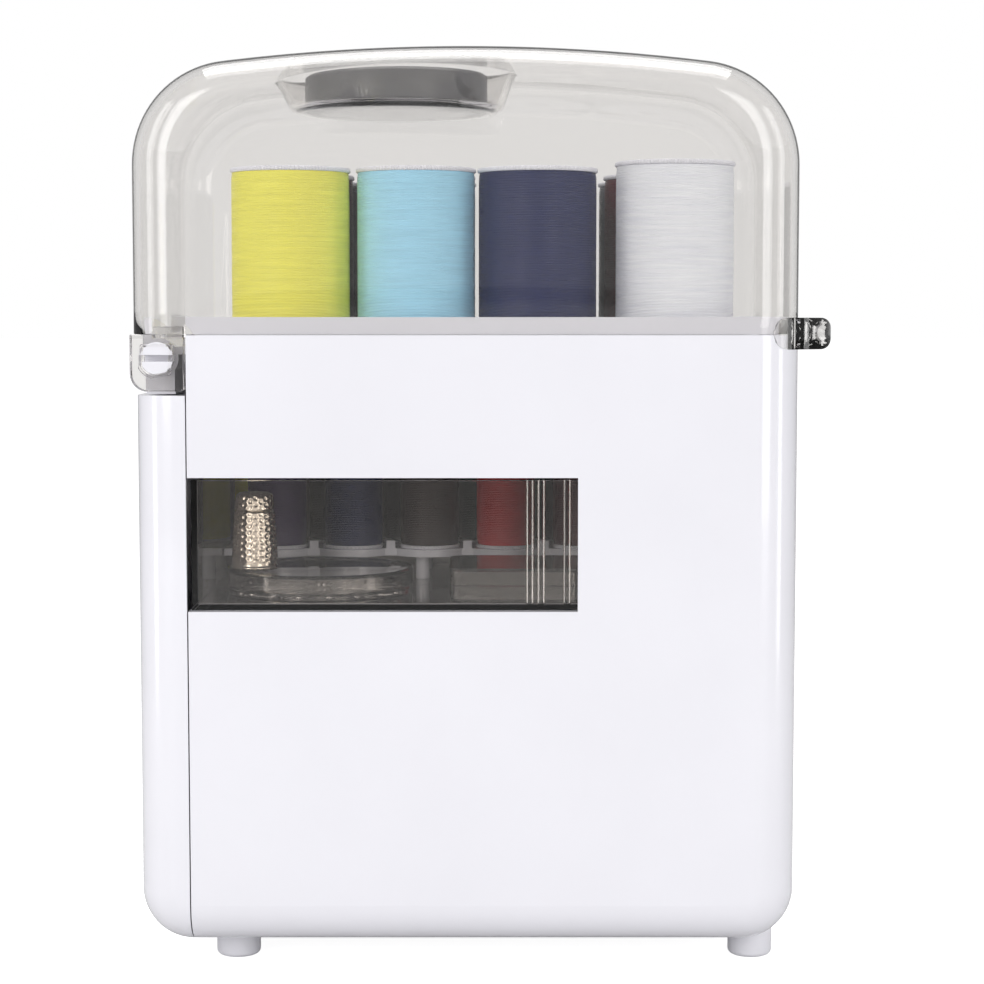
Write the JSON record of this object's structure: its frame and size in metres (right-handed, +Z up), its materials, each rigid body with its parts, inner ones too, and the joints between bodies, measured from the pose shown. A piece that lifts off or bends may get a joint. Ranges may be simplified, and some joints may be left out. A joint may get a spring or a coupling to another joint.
{
  "type": "thread spool storage box",
  "caption": "Upright white sewing box with a hinged clear lid over spool pegs and a side drawer with a clear tray, small spool rack and lower bin.",
  "frame": {"origin": "middle of the bounding box at the plane of the feet", "axes": "+Z up, +X towards the thumb tab, the window wall faces -Y"},
  "size_m": [0.217, 0.13, 0.2871],
  "materials": {
    "white": "glossy",
    "white_inner": "satin",
    "feet": "matte",
    "clear": "clear polished plastic",
    "clear_case": "clear polished plastic",
    "dark_grey": "satin",
    "magnet": "matte",
    "steel": "polished",
    "thimble": "dimpled nickel",
    "thread_yellow": "wound polyester thread",
    "thread_light_blue": "wound polyester thread",
    "thread_navy": "wound polyester thread",
    "thread_white": "wound polyester thread",
    "thread_dark_red": "wound polyester thread",
    "thread_maroon": "wound polyester thread",
    "thread_black": "wound polyester thread",
    "thread_green": "wound polyester thread",
    "thread_grey": "wound polyester thread",
    "thread_purple": "wound polyester thread",
    "thread_brown": "wound polyester thread",
    "thread_red": "wound polyester thread"
  },
  "bodies": {
    "housing": {"housing_shell": "white", "spool_deck": "white_inner", "hinge_beam": "white_inner", "feet": "feet", "drawer_runners": "white_inner"},
    "lid": {"lid_shell": "clear", "thumb_tab": "clear"},
    "puck": {"puck_case": "dark_grey", "puck_magnet": "magnet"},
    "drawer": {"end_panel": "white", "lower_bin": "white_inner", "clear_tray": "clear", "spool_rack": "white_inner", "panel_screws": "steel", "pin_case_base": "clear_case", "sewing_pins": "steel", "flat_case_base": "clear_case"},
    "pin_case_top": {"pin_case_lid": "clear_case"},
    "thimble_cup": {"thimble": "thimble"},
    "flat_case_top": {"flat_case_lid": "clear_case"},
    "large_spool_1": {"spool_core_1": "white_inner", "spool_thread_1": "thread_yellow"},
    "large_spool_2": {"spool_core_2": "white_inner", "spool_thread_2": "thread_light_blue"},
    "large_spool_3": {"spool_core_3": "white_inner", "spool_thread_3": "thread_navy"},
    "large_spool_4": {"spool_core_4": "white_inner", "spool_thread_4": "thread_white"},
    "large_spool_5": {"spool_core_5": "white_inner", "spool_thread_5": "thread_maroon"},
    "large_spool_6": {"spool_core_6": "white_inner", "spool_thread_6": "thread_maroon"},
    "large_spool_7": {"spool_core_7": "white_inner", "spool_thread_7": "thread_black"},
    "large_spool_8": {"spool_core_8": "white_inner", "spool_thread_8": "thread_dark_red"},
    "large_spool_9": {"spool_core_9": "white_inner", "spool_thread_9": "thread_black"},
    "large_spool_10": {"spool_core_10": "white_inner", "spool_thread_10": "thread_green"},
    "large_spool_11": {"spool_core_11": "white_inner", "spool_thread_11": "thread_black"},
    "large_spool_12": {"spool_core_12": "white_inner", "spool_thread_12": "thread_grey"},
    "small_spool_1": {"mini_spool_1": "thread_purple"},
    "small_spool_2": {"mini_spool_2": "thread_navy"},
    "small_spool_3": {"mini_spool_3": "thread_brown"},
    "small_spool_4": {"mini_spool_4": "thread_red"},
    "small_spool_5": {"mini_spool_5": "thread_maroon"},
    "small_spool_6": {"mini_spool_6": "thread_yellow"},
    "small_spool_7": {"mini_spool_7": "thread_black"},
    "small_spool_8": {"mini_spool_8": "thread_black"},
    "small_spool_9": {"mini_spool_9": "thread_green"},
    "small_spool_10": {"mini_spool_10": "thread_black"}
  },
  "joints": [
    {"name": "lid_hinge", "type": "hinge", "parent": "housing", "child": "lid", "pos_m": [-0.1001, 0, 0.1916], "axis": [0, -1, 0], "range_deg": [0, 90]},
    {"name": "drawer_slide", "type": "slide", "parent": "housing", "child": "drawer", "axis": [-1, 0, 0], "range_m": [0, 0.12]},
    {"name": "puck_lift", "type": "slide", "parent": "lid", "child": "puck", "axis": [0, 0, 1], "range_m": [0, 0.02]},
    {"name": "pin_case_lift", "type": "slide", "parent": "drawer", "child": "pin_case_top", "axis": [0, 0, 1], "range_m": [0, 0.012]},
    {"name": "thimble_lift", "type": "slide", "parent": "pin_case_top", "child": "thimble_cup", "axis": [0, 0, 1], "range_m": [0, 0.012]},
    {"name": "flat_case_hinge", "type": "hinge", "parent": "drawer", "child": "flat_case_top", "pos_m": [0.0341, -0.0388, 0.121], "axis": [0, 1, 0], "range_deg": [0, 100]},
    {"name": "large_spool_turn_1", "type": "hinge", "parent": "housing", "child": "large_spool_1", "pos_m": [-0.0608, -0.039, 0.1951], "axis": [0, 0, 1], "continuous": true},
    {"name": "large_spool_turn_2", "type": "hinge", "parent": "housing", "child": "large_spool_2", "pos_m": [-0.02129, -0.039, 0.1951], "axis": [0, 0, 1], "continuous": true},
    {"name": "large_spool_turn_3", "type": "hinge", "parent": "housing", "child": "large_spool_3", "pos_m": [0.01694, -0.039, 0.1951], "axis": [0, 0, 1], "continuous": true},
    {"name": "large_spool_turn_4", "type": "hinge", "parent": "housing", "child": "large_spool_4", "pos_m": [0.0601, -0.039, 0.1951], "axis": [0, 0, 1], "continuous": true},
    {"name": "large_spool_turn_5", "type": "hinge", "parent": "housing", "child": "large_spool_5", "pos_m": [-0.0619, 0, 0.1951], "axis": [0, 0, 1], "continuous": true},
    {"name": "large_spool_turn_6", "type": "hinge", "parent": "housing", "child": "large_spool_6", "pos_m": [-0.0218, 0, 0.1951], "axis": [0, 0, 1], "continuous": true},
    {"name": "large_spool_turn_7", "type": "hinge", "parent": "housing", "child": "large_spool_7", "pos_m": [0.0183, 0, 0.1951], "axis": [0, 0, 1], "continuous": true},
    {"name": "large_spool_turn_8", "type": "hinge", "parent": "housing", "child": "large_spool_8", "pos_m": [0.0584, 0, 0.1951], "axis": [0, 0, 1], "continuous": true},
    {"name": "large_spool_turn_9", "type": "hinge", "parent": "housing", "child": "large_spool_9", "pos_m": [-0.0619, 0.039, 0.1951], "axis": [0, 0, 1], "continuous": true},
    {"name": "large_spool_turn_10", "type": "hinge", "parent": "housing", "child": "large_spool_10", "pos_m": [-0.0218, 0.039, 0.1951], "axis": [0, 0, 1], "continuous": true},
    {"name": "large_spool_turn_11", "type": "hinge", "parent": "housing", "child": "large_spool_11", "pos_m": [0.0183, 0.039, 0.1951], "axis": [0, 0, 1], "continuous": true},
    {"name": "large_spool_turn_12", "type": "hinge", "parent": "housing", "child": "large_spool_12", "pos_m": [0.0584, 0.039, 0.1951], "axis": [0, 0, 1], "continuous": true},
    {"name": "small_spool_turn_1", "type": "hinge", "parent": "drawer", "child": "small_spool_1", "pos_m": [-0.0707, 0.015, 0.126], "axis": [0, 0, 1], "continuous": true},
    {"name": "small_spool_turn_2", "type": "hinge", "parent": "drawer", "child": "small_spool_2", "pos_m": [-0.0447, 0.015, 0.126], "axis": [0, 0, 1], "continuous": true},
    {"name": "small_spool_turn_3", "type": "hinge", "parent": "drawer", "child": "small_spool_3", "pos_m": [-0.0187, 0.015, 0.126], "axis": [0, 0, 1], "continuous": true},
    {"name": "small_spool_turn_4", "type": "hinge", "parent": "drawer", "child": "small_spool_4", "pos_m": [0.0073, 0.015, 0.126], "axis": [0, 0, 1], "continuous": true},
    {"name": "small_spool_turn_5", "type": "hinge", "parent": "drawer", "child": "small_spool_5", "pos_m": [0.0333, 0.015, 0.126], "axis": [0, 0, 1], "continuous": true},
    {"name": "small_spool_turn_6", "type": "hinge", "parent": "drawer", "child": "small_spool_6", "pos_m": [-0.0777, 0.0375, 0.126], "axis": [0, 0, 1], "continuous": true},
    {"name": "small_spool_turn_7", "type": "hinge", "parent": "drawer", "child": "small_spool_7", "pos_m": [-0.0517, 0.0375, 0.126], "axis": [0, 0, 1], "continuous": true},
    {"name": "small_spool_turn_8", "type": "hinge", "parent": "drawer", "child": "small_spool_8", "pos_m": [-0.0257, 0.0375, 0.126], "axis": [0, 0, 1], "continuous": true},
    {"name": "small_spool_turn_9", "type": "hinge", "parent": "drawer", "child": "small_spool_9", "pos_m": [0.0003, 0.0375, 0.126], "axis": [0, 0, 1], "continuous": true},
    {"name": "small_spool_turn_10", "type": "hinge", "parent": "drawer", "child": "small_spool_10", "pos_m": [0.0263, 0.0375, 0.126], "axis": [0, 0, 1], "continuous": true}
  ]
}
